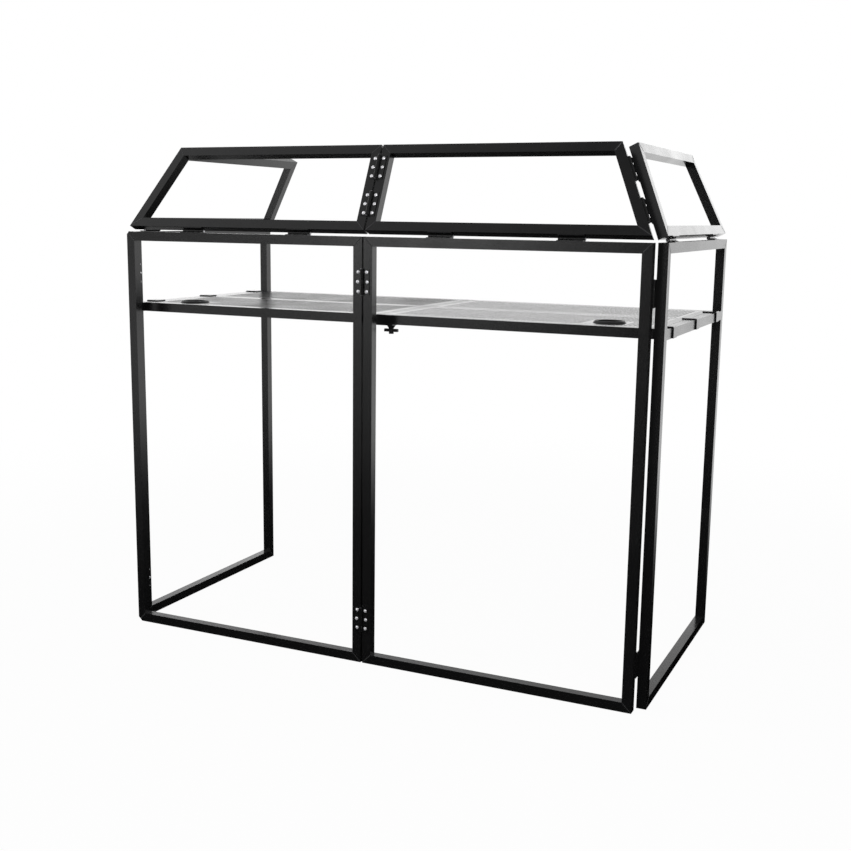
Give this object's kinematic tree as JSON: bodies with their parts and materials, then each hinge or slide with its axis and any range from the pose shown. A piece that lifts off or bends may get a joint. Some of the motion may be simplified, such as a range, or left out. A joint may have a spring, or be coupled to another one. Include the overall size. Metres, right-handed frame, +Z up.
{
  "type": "dj booth",
  "caption": "Folding DJ booth of black square tube: open front and side frames, a leaning upper band, a perforated table hooked to side bars and riveted hinges.",
  "frame": {"origin": "bottom centre of the booth's bounding box, on the floor", "axes": "+X along the front to the right as the front is seen, +Y from the front to the back, +Z up"},
  "size_m": [1.5606, 0.764, 1.3798],
  "materials": {
    "black_coat": "satin",
    "hinge_coat": "satin",
    "hook_coat": "satin",
    "sheet_coat": "satin",
    "rivet_metal": "polished",
    "pin_steel": "brushed",
    "port_plastic": "matte",
    "knob_plastic": "matte"
  },
  "bodies": {
    "front_right": {"front_right_frame": "black_coat", "centre_leaves_right": "hinge_coat", "corner_leaves_front_right": "hinge_coat", "link_base_front_right": "hinge_coat", "hinge_pins_front_right": "pin_steel", "rivets_front_right": "rivet_metal"},
    "front_left": {"front_left_frame": "black_coat", "centre_leaves_left": "hinge_coat", "corner_leaves_front_left": "hinge_coat", "link_base_front_left": "hinge_coat", "hinge_pins_front_left": "pin_steel", "rivets_front_left": "rivet_metal"},
    "side_right": {"side_right_frame": "black_coat", "side_right_crossbar": "black_coat", "corner_leaves_side_right": "hinge_coat", "link_base_side_right": "hinge_coat", "hinge_pins_side_right": "pin_steel", "rivets_side_right": "rivet_metal"},
    "side_left": {"side_left_frame": "black_coat", "side_left_crossbar": "black_coat", "corner_leaves_side_left": "hinge_coat", "link_base_side_left": "hinge_coat", "hinge_pins_side_left": "pin_steel", "rivets_side_left": "rivet_metal"},
    "upper_front_right": {"upper_front_right_frame": "black_coat", "upper_centre_leaves_right": "hinge_coat", "hip_leaves_front_right": "hinge_coat", "link_cap_front_right": "hinge_coat", "hinge_pins_upper_front_right": "pin_steel", "rivets_upper_front_right": "rivet_metal"},
    "upper_front_left": {"upper_front_left_frame": "black_coat", "upper_centre_leaves_left": "hinge_coat", "hip_leaves_front_left": "hinge_coat", "link_cap_front_left": "hinge_coat", "hinge_pins_upper_front_left": "pin_steel", "rivets_upper_front_left": "rivet_metal"},
    "upper_side_right": {"upper_side_right_frame": "black_coat", "hip_leaves_side_right": "hinge_coat", "link_cap_side_right": "hinge_coat", "rivets_upper_side_right": "rivet_metal"},
    "upper_side_left": {"upper_side_left_frame": "black_coat", "hip_leaves_side_left": "hinge_coat", "link_cap_side_left": "hinge_coat", "rivets_upper_side_left": "rivet_metal"},
    "table_right": {"table_right_frame": "black_coat", "table_right_sheets": "sheet_coat", "table_right_cable_port": "port_plastic", "table_right_hooks": "hook_coat"},
    "table_left": {"table_left_frame": "black_coat", "table_left_sheets": "sheet_coat", "table_left_cable_port": "port_plastic", "table_left_hooks": "hook_coat", "seam_plates": "hook_coat"},
    "front_knob": {"front_wing_knob": "knob_plastic", "front_clamp_screw": "pin_steel"},
    "rear_knob": {"rear_wing_knob": "knob_plastic", "rear_clamp_screw": "pin_steel"}
  },
  "joints": [
    {"name": "centre_fold", "type": "hinge", "parent": "front_right", "child": "front_left", "pos_m": [0, -0.377, 0.577], "axis": [0, 0, 1], "range_deg": [0, 176]},
    {"name": "right_swing", "type": "hinge", "parent": "front_right", "child": "side_right", "pos_m": [0.7465, -0.342, 0.572], "axis": [0, 0, -1], "range_deg": [0, 90]},
    {"name": "left_swing", "type": "hinge", "parent": "front_left", "child": "side_left", "pos_m": [-0.7465, -0.342, 0.572], "axis": [0, 0, 1], "range_deg": [0, 90]},
    {"name": "upper_lift", "type": "slide", "parent": "front_right", "child": "upper_front_right", "axis": [0, 0, 1], "range_m": [0, 0.25]},
    {"name": "upper_centre_fold", "type": "hinge", "parent": "upper_front_right", "child": "upper_front_left", "pos_m": [0, -0.36853, 1.16345], "axis": [0, 0.4226, 0.9063], "range_deg": [0, 176]},
    {"name": "right_hip", "type": "hinge", "parent": "upper_front_right", "child": "upper_side_right", "pos_m": [0.74481, -0.33681, 1.14865], "axis": [0.4043, -0.3865, -0.8289], "range_deg": [0, 79.2]},
    {"name": "left_hip", "type": "hinge", "parent": "upper_front_left", "child": "upper_side_left", "pos_m": [-0.74481, -0.33681, 1.14865], "axis": [0.4043, 0.3865, 0.8289], "range_deg": [0, 79.2]},
    {"name": "table_right_lift", "type": "slide", "parent": "side_right", "child": "table_right", "axis": [0, 0, 1], "range_m": [0, 0.07]},
    {"name": "table_left_lift", "type": "slide", "parent": "side_left", "child": "table_left", "axis": [0, 0, 1], "range_m": [0, 0.07]},
    {"name": "front_knob_turn", "type": "hinge", "parent": "table_left", "child": "front_knob", "pos_m": [0.04, -0.2845, 0.905], "axis": [0, 0, 1], "continuous": true},
    {"name": "rear_knob_turn", "type": "hinge", "parent": "table_left", "child": "rear_knob", "pos_m": [0.04, 0.3395, 0.905], "axis": [0, 0, 1], "continuous": true}
  ],
  "couplings": [
    {"joint": "upper_centre_fold", "follows": "centre_fold", "ratio": 1},
    {"joint": "right_hip", "follows": "right_swing", "ratio": 0.88},
    {"joint": "left_hip", "follows": "left_swing", "ratio": 0.88},
    {"joint": "table_left_lift", "follows": "table_right_lift", "ratio": 1}
  ]
}
